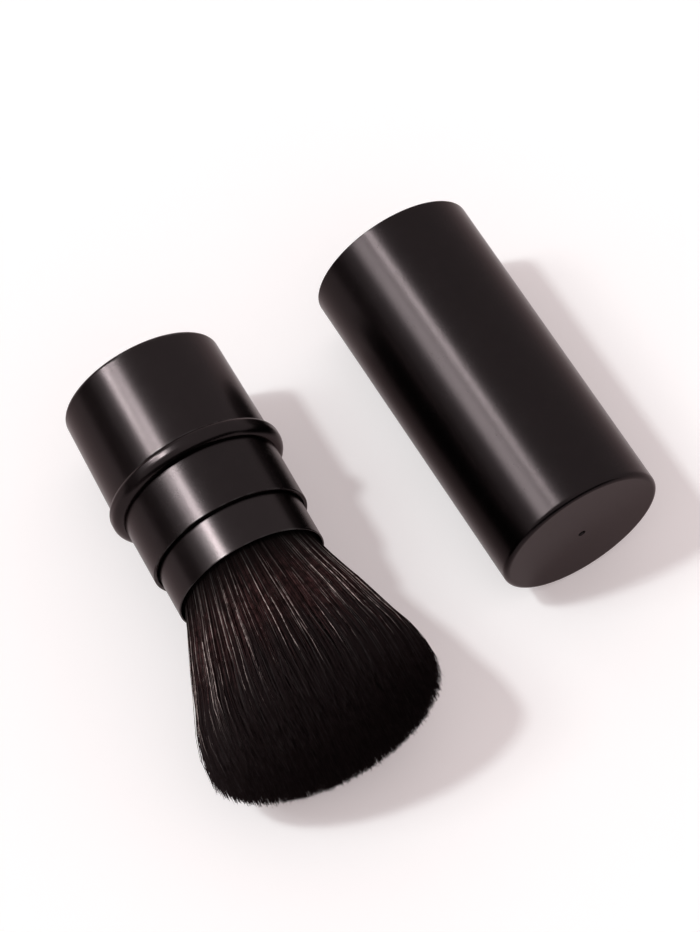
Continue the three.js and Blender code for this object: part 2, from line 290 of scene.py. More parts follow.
# %% [markdown]
# ## Two dark cards
#
# On both cylinders a dark stripe runs beside the bright band, and every rim that
# faces the camera has a dark line. They are reflections of the unlit sides of the
# studio, where a photographer stands black cards. The camera doesn't see these
# two, and they cast no shadow, so they only show where a shell reflects them.

# %% Dark cards
SIDE_CARD_Y = -0.25
SIDE_CARD_X = (-0.9, 0.34)
SIDE_CARD_TOP = 0.112
FRONT_CARD_X = 0.34
FRONT_CARD_Y = (-0.7, 0.45)
FRONT_CARD_Z = (0.03, 0.3)
dark = plain_sheet("card_black", (0.34, 0.32, 0.32, 1), (0.38, 0.36, 0.36, 1))[0]
black = plain_sheet("card_blacker", (0.06, 0.055, 0.055, 1), (0.08, 0.075, 0.075, 1))[0]
side_card = flat_sheet(
    "side_card",
    [
        (SIDE_CARD_X[0], SIDE_CARD_Y, 0),
        (SIDE_CARD_X[1], SIDE_CARD_Y, 0),
        (SIDE_CARD_X[1], SIDE_CARD_Y, SIDE_CARD_TOP),
        (SIDE_CARD_X[0], SIDE_CARD_Y, SIDE_CARD_TOP),
    ],
    dark,
)
front_card = flat_sheet(
    "front_card",
    [
        (FRONT_CARD_X, FRONT_CARD_Y[0], FRONT_CARD_Z[0]),
        (FRONT_CARD_X, FRONT_CARD_Y[1], FRONT_CARD_Z[0]),
        (FRONT_CARD_X, FRONT_CARD_Y[1], FRONT_CARD_Z[1]),
        (FRONT_CARD_X, FRONT_CARD_Y[0], FRONT_CARD_Z[1]),
    ],
    black,
)
for card in (side_card, front_card):
    card.visible_camera = False
    card.visible_diffuse = False
    card.visible_shadow = False
print("cards", SIDE_CARD_TOP, "and", FRONT_CARD_Z[1], "m high")

# %% [markdown]
# ## The brush's sizes
#
# A turned shell is drawn as half of its section: pairs of a station along the axis
# and a radius there. All are in millimetres, as the maker's drawing would have
# them, and stations count from the brush's closed end. The cap's stations count
# from its mouth.

# %% Sizes
BRUSH_AXIS = Vector((-45.7788, -26.977, 19.2088)) * MM
CAP_AXIS = Vector((-48.6788, 32.823, 17.9615)) * MM
CAP_TURN = math.radians(2.75)

BASE_FRONT = 23.4
BASE_REAR_RADIUS = 17.5
BASE_FRONT_RADIUS = 18.0
RING_REAR = 23.5
RING_FRONT = 27.4
RING_RADIUS = 19.25
NECK_REAR = 15.68
NECK_FRONT = 40.5
NECK_RADIUS = 17.25
NECK_BORE = 16.8
NECK_SEAT = 17.33
SLEEVE_REAR = 1.93
SLEEVE_FRONT = 49.8
SLEEVE_RADIUS = 16.2
SLEEVE_BORE = 15.75
SLEEVE_TRAVEL = 31.5
CAP_LENGTH = 74.1
CAP_RADIUS = 18.0
CAP_BORE = 17.35
END_WALL = 0.8
MOUTH_EDGE = 0.15
TUBE_EDGE = 0.24
PRESS_GAP = 0.08
print("brush", RING_RADIUS * 2, "mm across its ring; cap", CAP_LENGTH, "mm long")

# %% [markdown]
# ## Turning a shell
#
# A lathe would be one way, and Blender's Screw modifier another. Here the rings of
# the outline are joined directly, because then the ends can close in one point and
# a thin line of faces can be laid beside each rounded edge. That line keeps the
# rounding's shading off the long straight side, so the bright band stays straight.

# %% Outline helpers
SIDES = 192
ROUND_STEPS = 8
SUPPORT = 0.12
ON_AXIS = 1e-6
SHARP_ANGLE = math.radians(35)


def rounded(station, radius, size, start, end, steps=ROUND_STEPS):
    """A quarter round, or any arc: its centre, its radius, and two angles in degrees."""
    points = []
    for i in range(steps + 1):
        angle = math.radians(start + (end - start) * i / steps)
        points.append((station + size * math.sin(angle), radius + size * math.cos(angle)))
    return points


def supported(outline, closed):
    """The outline with a point added near both ends of each long straight."""
    points = []
    count = len(outline)
    for i, here in enumerate(outline):
        points.append(here)
        if i == count - 1 and not closed:
            break
        there = outline[(i + 1) % count]
        length = math.dist(here, there)
        if length > 4 * SUPPORT:
            for share in (SUPPORT / length, 1 - SUPPORT / length):
                points.append(tuple(a + (b - a) * share for a, b in zip(here, there)))
    return points


def turned(name, outline, origin, turn=0.0, closed=False, sides=SIDES):
    """A solid of revolution: outline is a list of (station, radius) in millimetres."""
    outline = supported(outline, closed)
    mesh = bpy.data.meshes.new(name)
    bm = bmesh.new()
    rings = []
    for station, radius in outline:
        if radius < ON_AXIS:
            rings.append([bm.verts.new((station, 0, 0))])
            continue
        ring = []
        for side in range(sides):
            angle = 2 * math.pi * side / sides
            spot = (station, radius * math.cos(angle), radius * math.sin(angle))
            ring.append(bm.verts.new(spot))
        rings.append(ring)
    pairs = list(zip(rings, rings[1:]))
    if closed:
        pairs.append((rings[-1], rings[0]))
    for first, second in pairs:
        for side in range(sides):
            after = (side + 1) % sides
            if len(first) == 1:
                bm.faces.new((first[0], second[after], second[side]))
            elif len(second) == 1:
                bm.faces.new((first[side], first[after], second[0]))
            else:
                bm.faces.new((first[side], first[after], second[after], second[side]))
    bmesh.ops.recalc_face_normals(bm, faces=bm.faces)
    place = Matrix.Translation(origin) @ Matrix.Rotation(turn, 4, "Z") @ Matrix.Scale(MM, 4)
    bm.transform(place)
    bm.to_mesh(mesh)
    bm.free()
    mesh.shade_smooth()
    mesh.set_sharp_from_angle(angle=SHARP_ANGLE)
    piece = bpy.data.objects.new(name, mesh)
    scene.collection.objects.link(piece)
    print(name, len(mesh.polygons), "faces")
    return piece


# %% [markdown]
# ## Black anodised shells
#
# The shells are thin metal, dyed black and left smooth. Up close the dye is a
# little uneven: the gloss changes in soft patches, and the tool has left fine
# lines round the metal. One node group makes both, and every shell uses it with
# its own values. A second group finds a rim at a given station and makes it
# lighter there: partly dye that handling has rubbed a little thinner, and partly
# a painted highlight along the rim.

# %% Group of turned grain
SPECK_SCALE = 3500.0
LINE_SCALE = (3000.0, 40.0, 40.0)  # Fine along the axis, long round it
grain_group, g_in, g_out = new_group(
    "turned_grain",
    [
        ("Vector", "NodeSocketVector", None),
        ("Roughness", "NodeSocketFloat", 0.3),
        ("Patches", "NodeSocketFloat", 0.06),
        ("Patch Scale", "NodeSocketFloat", 300.0),
    ],
    ["Roughness", "Height", "Patch"],
)
where = g_in.outputs["Vector"]
patch = node(
    grain_group,
    "ShaderNodeTexNoise",
    {"Vector": where, "Scale": g_in.outputs["Patch Scale"], "Detail": 4.0, "Roughness": 0.6},
)
speck = node(
    grain_group,
    "ShaderNodeTexNoise",
    {"Vector": where, "Scale": SPECK_SCALE, "Detail": 2.0},
)
stretch = node(grain_group, "ShaderNodeMapping", {"Vector": where, "Scale": LINE_SCALE})
lines = node(
    grain_group,
    "ShaderNodeTexNoise",
    {"Vector": stretch.outputs[0], "Scale": 1.0, "Detail": 3.0},
)
uneven = calc(grain_group, "SUBTRACT", patch.outputs["Fac"], 0.5)
uneven = calc(grain_group, "MULTIPLY", uneven, g_in.outputs["Patches"])
fine = calc(grain_group, "SUBTRACT", speck.outputs["Fac"], 0.5)
fine = calc(grain_group, "MULTIPLY", fine, g_in.outputs["Patches"])
rough = calc(grain_group, "ADD", g_in.outputs["Roughness"], uneven)
rough = calc(grain_group, "ADD", rough, fine)
height = calc(grain_group, "ADD", speck.outputs["Fac"], lines.outputs["Fac"])
grain_group.links.new(rough, g_out.inputs["Roughness"])
grain_group.links.new(height, g_out.inputs["Height"])
grain_group.links.new(patch.outputs["Fac"], g_out.inputs["Patch"])
print("group", grain_group.name)

# %% Group of rubbed rims with a painted highlight
RIM_MARK_THRESHOLD = 0.42
RIM_MARK_CONTRAST = 4.0
rim_group, g_in, g_out = new_group(
    "rubbed_rim_and_painted_highlight",
    [
        ("Vector", "NodeSocketVector", None),
        ("Station", "NodeSocketFloat", 0.0),
        ("Width", "NodeSocketFloat", 0.0004),
    ],
    ["Rub"],
)
split = node(rim_group, "ShaderNodeSeparateXYZ", {"Vector": g_in.outputs["Vector"]})
off = calc(rim_group, "SUBTRACT", split.outputs["X"], g_in.outputs["Station"])
off = calc(rim_group, "ABSOLUTE", off)
near = calc(rim_group, "DIVIDE", off, g_in.outputs["Width"])
near = calc(rim_group, "SUBTRACT", 1.0, near, clamp=True)
break_up = node(
    rim_group,
    "ShaderNodeTexNoise",
    {"Vector": g_in.outputs["Vector"], "Scale": 420.0, "Detail": 5.0},
)
patchy = calc(rim_group, "SUBTRACT", break_up.outputs["Fac"], RIM_MARK_THRESHOLD)
patchy = calc(rim_group, "MULTIPLY", patchy, RIM_MARK_CONTRAST, clamp=True)
rim_wear_and_highlight = calc(rim_group, "MULTIPLY", near, patchy)
rim_group.links.new(rim_wear_and_highlight, g_out.inputs["Rub"])
print("group", rim_group.name)

# %% Anodised material
# The lighter rim colour is partly dye rubbed thin and partly a painted highlight
RIM_WEAR_AND_HIGHLIGHT_COLOUR = (0.09, 0.085, 0.085, 1)
RIM_WEAR_AND_HIGHLIGHT_SHARE = 0.5
EDGE_TINT = (0.76, 0.7, 0.7, 1)
PATCH_LIGHTER = 1.15


def anodised(name, black, roughness, patches, origin, turn=0.0, rims=()):
    """Dyed metal; rims are stations in millimetres where the dye is rubbed and a highlight is
    painted.
    """
    material, tree, shader = new_material(name, 1.0, roughness)
    shader.inputs["Specular Tint"].default_value = EDGE_TINT
    where = node(tree, "ShaderNodeTexCoord").outputs["Object"]
    back_turn = Matrix.Rotation(-turn, 3, "Z")
    centred = node(
        tree,
        "ShaderNodeMapping",
        {"Vector": where, "Location": -(back_turn @ origin), "Rotation": (0.0, 0.0, -turn)},
    ).outputs[0]
    grain = node(
        tree,
        "ShaderNodeGroup",
        {"Vector": centred, "Roughness": roughness, "Patches": patches},
        node_tree=grain_group,
    )
    lighter = tuple(c * PATCH_LIGHTER for c in black[:3]) + (1,)
    colour = blend_colour(tree, grain.outputs["Patch"], black, lighter)
    # Each rim is made lighter: partly rubbed dye, partly a painted highlight
    for station in rims:
        rim = node(
            tree,
            "ShaderNodeGroup",
            {"Vector": centred, "Station": station * MM},
            node_tree=rim_group,
        )
        share = calc(tree, "MULTIPLY", rim.outputs["Rub"], RIM_WEAR_AND_HIGHLIGHT_SHARE)
        colour = blend_colour(tree, share, colour, RIM_WEAR_AND_HIGHLIGHT_COLOUR)
    bump = node(
        tree,
        "ShaderNodeBump",
        {"Height": grain.outputs["Height"], "Strength": 0.1, "Distance": 0.00005},
    )
    tree.links.new(colour, shader.inputs["Base Color"])
    tree.links.new(grain.outputs["Roughness"], shader.inputs["Roughness"])
    tree.links.new(bump.outputs[0], shader.inputs["Normal"])
    return material


def dress(piece, material, body, slot, *nodes):
    """Gives a piece its material and its body, and hides the nodes that it stands for. The slot
    is not used.
    """
    piece.data.materials.clear()
    piece.data.materials.append(material)
    if nodes:
        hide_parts(*nodes)
    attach(piece, body)
    return piece


print("material recipe ready")

# %% [markdown]
# ## The base
#
# The base is a cup turned from one bar. It tapers a little towards its closed end,
# whose edge is rounded, and the neck tube is pressed into its mouth. The outline
# runs from the middle of the closed end, out over the side, and back inside.

# %% Base
BASE_EDGE = 0.9
BASE_BLACK = (0.0192, 0.0149, 0.0153, 1)
base = turned(
    "turned_base",
    [
        (0, 0),
        *rounded(BASE_EDGE, BASE_REAR_RADIUS - BASE_EDGE, BASE_EDGE, -90, 0),
        *rounded(BASE_FRONT - MOUTH_EDGE, BASE_FRONT_RADIUS - MOUTH_EDGE, MOUTH_EDGE, 0, 90, 3),
        (BASE_FRONT, NECK_SEAT),
        (NECK_REAR - PRESS_GAP, NECK_SEAT),
        (NECK_REAR - PRESS_GAP, NECK_BORE),
        (END_WALL, NECK_BORE),
        (END_WALL, 0),
    ],
    BRUSH_AXIS,
)
base_black = anodised(
    "base_black", BASE_BLACK, 0.245, 0.05, BRUSH_AXIS, rims=(0.6, BASE_FRONT)
)
dress(base, base_black, "brush", "black_metal", "base_shell")

# %% [markdown]
# ## The stop ring
#
# A separate ring sits between the base and the neck, and the cap lands on it. Its
# outer edges are rounded so far that it reads as a bead: the front one falls in a
# full quarter round down to the neck.

# %% Stop ring
RING_REAR_EDGE = 1.2
RING_FRONT_EDGE = RING_RADIUS - NECK_SEAT
ring = turned(
    "stop_bead",
    [
        (RING_REAR, NECK_SEAT),
        *rounded(
            RING_REAR + RING_REAR_EDGE, RING_RADIUS - RING_REAR_EDGE, RING_REAR_EDGE, -90, 0
        ),
        *rounded(RING_FRONT - RING_FRONT_EDGE, NECK_SEAT, RING_FRONT_EDGE, 0, 90, 12),
    ],
    BRUSH_AXIS,
    closed=True,
)
ring_black = anodised("ring_black", BASE_BLACK, 0.24, 0.06, BRUSH_AXIS)
dress(ring, ring_black, "brush", "black_metal", "stop_ring")

# %% [markdown]
# ## The neck and the sleeve
#
# Both are thin drawn tubes with eased ends. The neck is fixed, and its mouth is
# turned in by a hair, so that only a narrow dark gap shows round the sleeve, which
# runs inside it. The sleeve is the brightest of the shells, because sliding rubs it.

# %% Neck
NECK_LIP = 16.5
NECK_LIP_EDGE = 0.1
NECK_LIP_LENGTH = 0.6
NECK_LIP_END = 0.9
neck = turned(
    "drawn_neck",
    [
        (NECK_REAR, NECK_BORE),
        (NECK_REAR, NECK_RADIUS),
        *rounded(NECK_FRONT - TUBE_EDGE, NECK_RADIUS - TUBE_EDGE, TUBE_EDGE, 0, 90, 5),
        *rounded(NECK_FRONT - NECK_LIP_EDGE, NECK_LIP + NECK_LIP_EDGE, NECK_LIP_EDGE, 90, 180, 3),
        (NECK_FRONT - NECK_LIP_LENGTH, NECK_LIP),
        (NECK_FRONT - NECK_LIP_END, NECK_BORE),
    ],
    BRUSH_AXIS,
    closed=True,
)
neck_black = anodised(
    "neck_black", (0.0188, 0.0147, 0.0151, 1), 0.26, 0.06, BRUSH_AXIS, rims=(NECK_FRONT,)
)
dress(neck, neck_black, "brush", "black_metal", "neck_tube")

# %% Sleeve
SLEEVE_LIP_EDGE = 0.16
sleeve = turned(
    "sliding_sleeve",
    [
        (SLEEVE_REAR, SLEEVE_BORE),
        (SLEEVE_REAR, SLEEVE_RADIUS),
        *rounded(SLEEVE_FRONT - TUBE_EDGE, SLEEVE_RADIUS - TUBE_EDGE, TUBE_EDGE, 0, 90, 5),
        *rounded(
            SLEEVE_FRONT - SLEEVE_LIP_EDGE,
            SLEEVE_BORE + SLEEVE_LIP_EDGE,
            SLEEVE_LIP_EDGE,
            90,
            180,
            4,
        ),
    ],
    BRUSH_AXIS,
    closed=True,
)
sleeve_black = anodised(
    "sleeve_black", (0.0222, 0.0175, 0.0179, 1), 0.245, 0.05, BRUSH_AXIS, rims=(SLEEVE_FRONT,)
)
dress(sleeve, sleeve_black, "sleeve", "black_metal", "sleeve_tube")

# %% [markdown]
# ## The cap
#
# The cap is a deep drawn cup, a little blacker than the brush. The closed end is
# flat, with a rounded edge and the small centre mark of the lathe, a shallow dimple.

# %% Cap
CAP_EDGE = 1.1
CAP_INNER_EDGE = 0.6
DIMPLE = 0.8
DIMPLE_DEPTH = 0.45
DIMPLE_EDGE = 0.08
DIMPLE_TAPER = 0.12
cap = turned(
    "drawn_cap",
    [
        (CAP_LENGTH - END_WALL, 0),
        *rounded(
            CAP_LENGTH - END_WALL - CAP_INNER_EDGE,
            CAP_BORE - CAP_INNER_EDGE,
            CAP_INNER_EDGE,
            90,
            0,
        ),
        *rounded(MOUTH_EDGE, CAP_BORE + MOUTH_EDGE, MOUTH_EDGE, 180, 270, 3),
        *rounded(MOUTH_EDGE, CAP_RADIUS - MOUTH_EDGE, MOUTH_EDGE, 270, 360, 3),
        *rounded(CAP_LENGTH - CAP_EDGE, CAP_RADIUS - CAP_EDGE, CAP_EDGE, 0, 90),
        *rounded(CAP_LENGTH - DIMPLE_EDGE, DIMPLE + DIMPLE_EDGE, DIMPLE_EDGE, 90, 160, 3),
        (CAP_LENGTH - DIMPLE_DEPTH, DIMPLE - DIMPLE_TAPER),
        (CAP_LENGTH - DIMPLE_DEPTH, 0),
    ],
    CAP_AXIS,
    CAP_TURN,
)
cap_black = anodised(
    "cap_black", (0.0158, 0.0122, 0.0126, 1), 0.26, 0.05, CAP_AXIS, CAP_TURN, rims=(0.0,)
)
dress(cap, cap_black, "cap", "black_metal", "cap")

# %% [markdown]
# ## The lamps that only the cap sees
#
# Light linking gives a lamp a collection that says which pieces it lights. One
# collection takes the cap in, and the other leaves only the cap out.

# %% The cap's own lamps
for title, suns, state in (
    ("lit_by_cap_lamps", cap_bands, "INCLUDE"),
    ("not_by_brush_lamps", brush_bands, "EXCLUDE"),
):
    receivers = bpy.data.collections.new(title)
    receivers.objects.link(cap)
    receivers.collection_objects[0].light_linking.link_state = state
    for sun in suns:
        sun.light_linking.receiver_collection = receivers
    print(title, [sun.name for sun in suns])

# %% [markdown]
# ## The parts inside
#
# The moulded bushes, the plug, the post, its screw and the ferrule keep their
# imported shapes, because they are hidden or only glimpsed in a gap. They still get
# a finish each: a fine moulded grain, brushed steel, and a drawn black metal.

# %% Finishes of the inner parts
MOULDED_LIGHTER = 1.4


def moulded(name, colour, roughness):
    material, tree, shader = new_material(name, 0.0, roughness, 0.4)
    where = node(tree, "ShaderNodeTexCoord").outputs["Object"]
    grain = node(
        tree,
        "ShaderNodeGroup",
        {"Vector": where, "Roughness": roughness, "Patches": 0.12, "Patch Scale": 600.0},
        node_tree=grain_group,
    )
    lighter = tuple(c * MOULDED_LIGHTER for c in colour[:3]) + (1,)
    tint = blend_colour(tree, grain.outputs["Patch"], colour, lighter)
    bump = node(
        tree,
        "ShaderNodeBump",
        {"Height": grain.outputs["Height"], "Strength": 0.2, "Distance": 0.0001},
    )
    tree.links.new(tint, shader.inputs["Base Color"])
    tree.links.new(grain.outputs["Roughness"], shader.inputs["Roughness"])
    tree.links.new(bump.outputs[0], shader.inputs["Normal"])
    return material


def give(name, material):
    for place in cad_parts[name].material_slots:
        place.material = material


moulded_black = moulded("moulded_black", (0.016, 0.015, 0.015, 1), 0.5)
moulded_grey = moulded("moulded_grey", (0.03, 0.029, 0.029, 1), 0.55)
ferrule_black = anodised("ferrule_black", (0.04, 0.036, 0.036, 1), 0.35, 0.1, BRUSH_AXIS)
screw_steel = anodised("screw_steel", (0.5, 0.49, 0.47, 1), 0.3, 0.12, BRUSH_AXIS)
for inner_name, inner_finish in (
    ("guide_bush", moulded_black),
    ("sleeve_bush", moulded_black),
    ("base_plug", moulded_grey),
    ("core_post", moulded_grey),
    ("ferrule_cup", ferrule_black),
    ("core_screw", screw_steel),
):
    give(inner_name, inner_finish)
print("inner parts dressed")

# %% [markdown]
# ## How the bristles stand
#
# The real head is one dense tuft of many thousand filaments, glued into the
# ferrule and cut to a dome. Each filament leaves its root, runs straight to the
# sleeve's mouth, and then fans out, so the whole head is a family of nested
# strands: a strand that roots at a share of the tuft's radius keeps that share at
# every station. The rule has four parts, which are the values here: the envelope's
# radius along the brush, the dome, the way the table presses the underside flatter,
# and a slight lean.
#
# Hair particles would give the strands too, but Geometry Nodes keep every size as
# a named input, and the result becomes a plain mesh.

# %% Sizes of the head
ROOT_STATION = 29.2
ROOT_RADIUS = 13.9
MOUTH_RADIUS = 15.05
CROWN_STATION = 95.2
SHOULDER_STATION = 84.0
HEAD_RADIUS = 25.1
PRESSED_SHARE = 0.757
TOP_SHARE = 0.965
LEAN = 1.8
# Shares of the way from the mouth to the crown, and of the way out to the head's radius
ENVELOPE = (
    (0.0, 0.0),
    (0.136, 0.19),
    (0.298, 0.45),
    (0.453, 0.67),
    (0.606, 0.905),
    (0.748, 1.0),
    (1.0, 1.0),
)
print("head", 2 * HEAD_RADIUS, "mm across,", CROWN_STATION - SLEEVE_FRONT, "mm long")

# %% [markdown]
# ## The tree that grows the bristles
#
# One point is made for each strand, with its share, its angle and some chance
# numbers stored on it. A line of ten points stands on every point, and the line's
# own points are then moved onto the strand's path. Strands near each other are
# drawn a little together, cell by cell, which makes the tufts and the darker
# partings between them. Last, a small triangle is swept along every line, thinner
# towards the tip.

# %% Strand tree
STRAND_POINTS = 10
strand_tree = bpy.data.node_groups.new("bristle_strands", "GeometryNodeTree")
sockets = strand_tree.interface
sockets.new_socket("Geometry", in_out="OUTPUT", socket_type="NodeSocketGeometry")
strand_inputs = {}
for title, kind in (
    ("Strands", "NodeSocketInt"),
    ("Seed", "NodeSocketInt"),
    ("Middle Angle", "NodeSocketFloat"),
    ("Sector Angle", "NodeSocketFloat"),
    ("Root Station", "NodeSocketFloat"),
    ("Mouth Station", "NodeSocketFloat"),
    ("Shoulder Station", "NodeSocketFloat"),
    ("Crown Station", "NodeSocketFloat"),
    ("Root Radius", "NodeSocketFloat"),
    ("Mouth Radius", "NodeSocketFloat"),
    ("Head Radius", "NodeSocketFloat"),
    ("Pressed Share", "NodeSocketFloat"),
    ("Top Share", "NodeSocketFloat"),
    ("Lean", "NodeSocketFloat"),
    ("Lowest", "NodeSocketFloat"),
    ("Thickness", "NodeSocketFloat"),
    ("Ragged", "NodeSocketFloat"),
    ("Stray", "NodeSocketFloat"),
    ("Drift", "NodeSocketFloat"),
    ("Longer", "NodeSocketFloat"),
    ("Tufting", "NodeSocketFloat"),
    ("Glossy Share", "NodeSocketFloat"),
    ("Axis", "NodeSocketVector"),
    ("Dull Material", "NodeSocketMaterial"),
    ("Glossy Material", "NodeSocketMaterial"),
):
    made = sockets.new_socket(title, in_out="INPUT", socket_type=kind)
    strand_inputs[title] = made.identifier
# A modifier finds an input by its identifier, not by its name, so those are kept
g = strand_tree
given = g.nodes.new("NodeGroupInput").outputs
print(len(strand_inputs), "named inputs")


# %% Chance numbers
OUTWARD_POWER = 0.45  # Below 1, so that more strands stand near the outside
SHORT_POWER = 2.5  # Above 1, so that large values are rare
WILD_POWER = 24.0
LONGER_POWER = 5.0
LASTING_SPAN = 0.36
LASTING_LEAST = -0.08


def chance(seed_step, low, high):
    """A random number for each point, from its own place in the seed's sequence."""
    # The node has sockets for every kind of value; 2, 3 and output 1 are its numbers
    made = g.nodes.new("FunctionNodeRandomValue")
    made.data_type = "FLOAT"
    put(g, made.inputs[2], low)
    put(g, made.inputs[3], high)
    put(g, made.inputs[8], calc(g, "ADD", given["Seed"], float(seed_step)))
    return made.outputs[1]


def store(geometry, name, value):
    made = node(g, "GeometryNodeStoreNamedAttribute", data_type="FLOAT", domain="POINT")
    put(g, made.inputs["Geometry"], geometry)
    made.inputs["Name"].default_value = name
    put(g, made.inputs["Value"], value)
    return made.outputs[0]


def stored(name):
    made = node(g, "GeometryNodeInputNamedAttribute", data_type="FLOAT")
    made.inputs["Name"].default_value = name
    return made.outputs[0]


points = node(g, "GeometryNodePoints")
put(g, points.inputs["Count"], given["Strands"])
flow = points.outputs[0]
outer = calc(g, "POWER", chance(1, 0.0, 1.0), OUTWARD_POWER)
spread = calc(g, "MULTIPLY", chance(2, -0.5, 0.5), given["Sector Angle"])
flow = store(flow, "share", outer)
flow = store(flow, "angle", calc(g, "ADD", given["Middle Angle"], spread))
flow = store(flow, "tone", chance(3, 0.0, 1.0))
flow = store(flow, "shade", chance(7, 0.0, 1.0))
flow = store(flow, "short", calc(g, "POWER", chance(4, 0.0, 1.0), SHORT_POWER))
flow = store(flow, "wild", calc(g, "POWER", chance(5, 0.0, 1.0), WILD_POWER))
flow = store(flow, "phase", chance(6, 0.0, 50.0))
flow = store(flow, "drift_y", chance(8, -0.5, 0.5))
flow = store(flow, "drift_z", chance(9, -0.5, 0.5))
flow = store(flow, "longer", calc(g, "POWER", chance(10, 0.0, 1.0), LONGER_POWER))
lasting = calc(g, "POWER", chance(11, 0.0, 1.0), 2.0)
lasting = calc(g, "MULTIPLY_ADD", lasting, LASTING_SPAN, LASTING_LEAST)
flow = store(flow, "lasting", lasting)
print("a point for each strand")

# %% A line on every point
line = node(g, "GeometryNodeCurvePrimitiveLine")
even = node(g, "GeometryNodeResampleCurve")
put(g, even.inputs["Curve"], line.outputs[0])
even.inputs["Count"].default_value = STRAND_POINTS
stand = node(g, "GeometryNodeInstanceOnPoints")
put(g, stand.inputs["Points"], flow)
put(g, stand.inputs["Instance"], even.outputs[0])
real = node(g, "GeometryNodeRealizeInstances")
put(g, real.inputs[0], stand.outputs[0])
# The factor goes by length, so it is kept now, while the ten points are evenly spaced
factor = node(g, "GeometryNodeSplineParameter").outputs["Factor"]
flow = store(real.outputs[0], "step", factor)
along = stored("step")
print("a line on every point")

# %% Station along the strand
# A line's first step goes from the root to the sleeve's mouth, the others on to the tip
first_step = 1.0 / (STRAND_POINTS - 1)
share = stored("share")
inside = calc(g, "DIVIDE", along, first_step, clamp=True)
beyond = calc(g, "SUBTRACT", along, first_step)
beyond = calc(g, "DIVIDE", beyond, 1.0 - first_step, clamp=True)
square = calc(g, "MULTIPLY", share, share)
dome = calc(g, "SQRT", calc(g, "SUBTRACT", 1.0, square))
dome_height = calc(g, "SUBTRACT", given["Crown Station"], given["Shoulder Station"])
dome = calc(g, "MULTIPLY", dome, dome_height)
end = calc(g, "ADD", given["Shoulder Station"], dome)
end = calc(g, "SUBTRACT", end, calc(g, "MULTIPLY", stored("short"), given["Ragged"]))
end = calc(g, "MULTIPLY_ADD", stored("longer"), given["Longer"], end)
to_mouth = calc(g, "SUBTRACT", given["Mouth Station"], given["Root Station"])
station = calc(g, "MULTIPLY_ADD", inside, to_mouth, given["Root Station"])
to_end = calc(g, "SUBTRACT", end, given["Mouth Station"])
station = calc(g, "MULTIPLY_ADD", beyond, to_end, station)
print("station")

# %% Radius along the strand, and the tufts
TUFT_SCALE = 24.0
free = calc(g, "SUBTRACT", station, given["Mouth Station"])
free_length = calc(g, "SUBTRACT", given["Crown Station"], given["Mouth Station"])
free_share = calc(g, "DIVIDE", free, free_length, clamp=True)
curve = node(g, "ShaderNodeFloatCurve")
put(g, curve.inputs["Value"], free_share)
mapping = curve.mapping.curves[0]
mapping.points[0].location = ENVELOPE[0]
mapping.points[1].location = ENVELOPE[-1]
for spot in ENVELOPE[1:-1]:
    mapping.points.new(*spot)
curve.mapping.update()
grow = calc(g, "SUBTRACT", given["Head Radius"], given["Mouth Radius"])
reach = calc(g, "MULTIPLY_ADD", curve.outputs[0], grow, given["Mouth Radius"])
narrow = calc(g, "SUBTRACT", given["Root Radius"], given["Mouth Radius"])
narrow = calc(g, "MULTIPLY", narrow, calc(g, "SUBTRACT", 1.0, inside))
reach = calc(g, "ADD", reach, narrow)
angle = stored("angle")
root_y = calc(g, "MULTIPLY", share, calc(g, "COSINE", angle))
root_z = calc(g, "MULTIPLY", share, calc(g, "SINE", angle))
root = node(g, "ShaderNodeCombineXYZ", {"X": 0.0, "Y": root_y, "Z": root_z}).outputs[0]
cells = node(
    g,
    "ShaderNodeTexVoronoi",
    {"Vector": root, "Scale": TUFT_SCALE, "Randomness": 1.0},
    voronoi_dimensions="3D",
)
centre = node(g, "ShaderNodeSeparateXYZ", {"Vector": cells.outputs["Position"]})
swell = calc(g, "SINE", calc(g, "MULTIPLY", beyond, math.pi))
pull = calc(g, "MULTIPLY", swell, given["Tufting"])
root_y = calc(g, "MULTIPLY_ADD", calc(g, "SUBTRACT", centre.outputs["Y"], root_y), pull, root_y)
root_z = calc(g, "MULTIPLY_ADD", calc(g, "SUBTRACT", centre.outputs["Z"], root_z), pull, root_z)
across = calc(g, "MULTIPLY", root_y, reach)
up = calc(g, "MULTIPLY", root_z, reach)
print("radius and tufts")

# %% A little waviness, more of it on a few stray strands, and a drift to one side
WAVES_PER_METRE = 90.0
WAVES_PER_RADIAN = 3.0
WILD_SWAY = 4.0
sway_at = node(
    g,
    "ShaderNodeCombineXYZ",
    {
        "X": calc(g, "MULTIPLY", station, WAVES_PER_METRE),
        "Y": stored("phase"),
        "Z": calc(g, "MULTIPLY", angle, WAVES_PER_RADIAN),
    },
).outputs[0]
sway = node(g, "ShaderNodeTexNoise", {"Vector": sway_at, "Scale": 1.0, "Detail": 1.0})
sway = node(g, "ShaderNodeSeparateXYZ", {"Vector": sway.outputs["Color"]})
wide = calc(g, "MULTIPLY_ADD", stored("wild"), WILD_SWAY, 1.0)
wide = calc(g, "MULTIPLY", calc(g, "MULTIPLY", wide, given["Stray"]), beyond)
across = calc(g, "MULTIPLY_ADD", calc(g, "SUBTRACT", sway.outputs["X"], 0.5), wide, across)
up = calc(g, "MULTIPLY_ADD", calc(g, "SUBTRACT", sway.outputs["Y"], 0.5), wide, up)
sidestep = calc(g, "MULTIPLY", given["Drift"], beyond)
across = calc(g, "MULTIPLY_ADD", stored("drift_y"), sidestep, across)
up = calc(g, "MULTIPLY_ADD", stored("drift_z"), sidestep, up)
print("waviness")

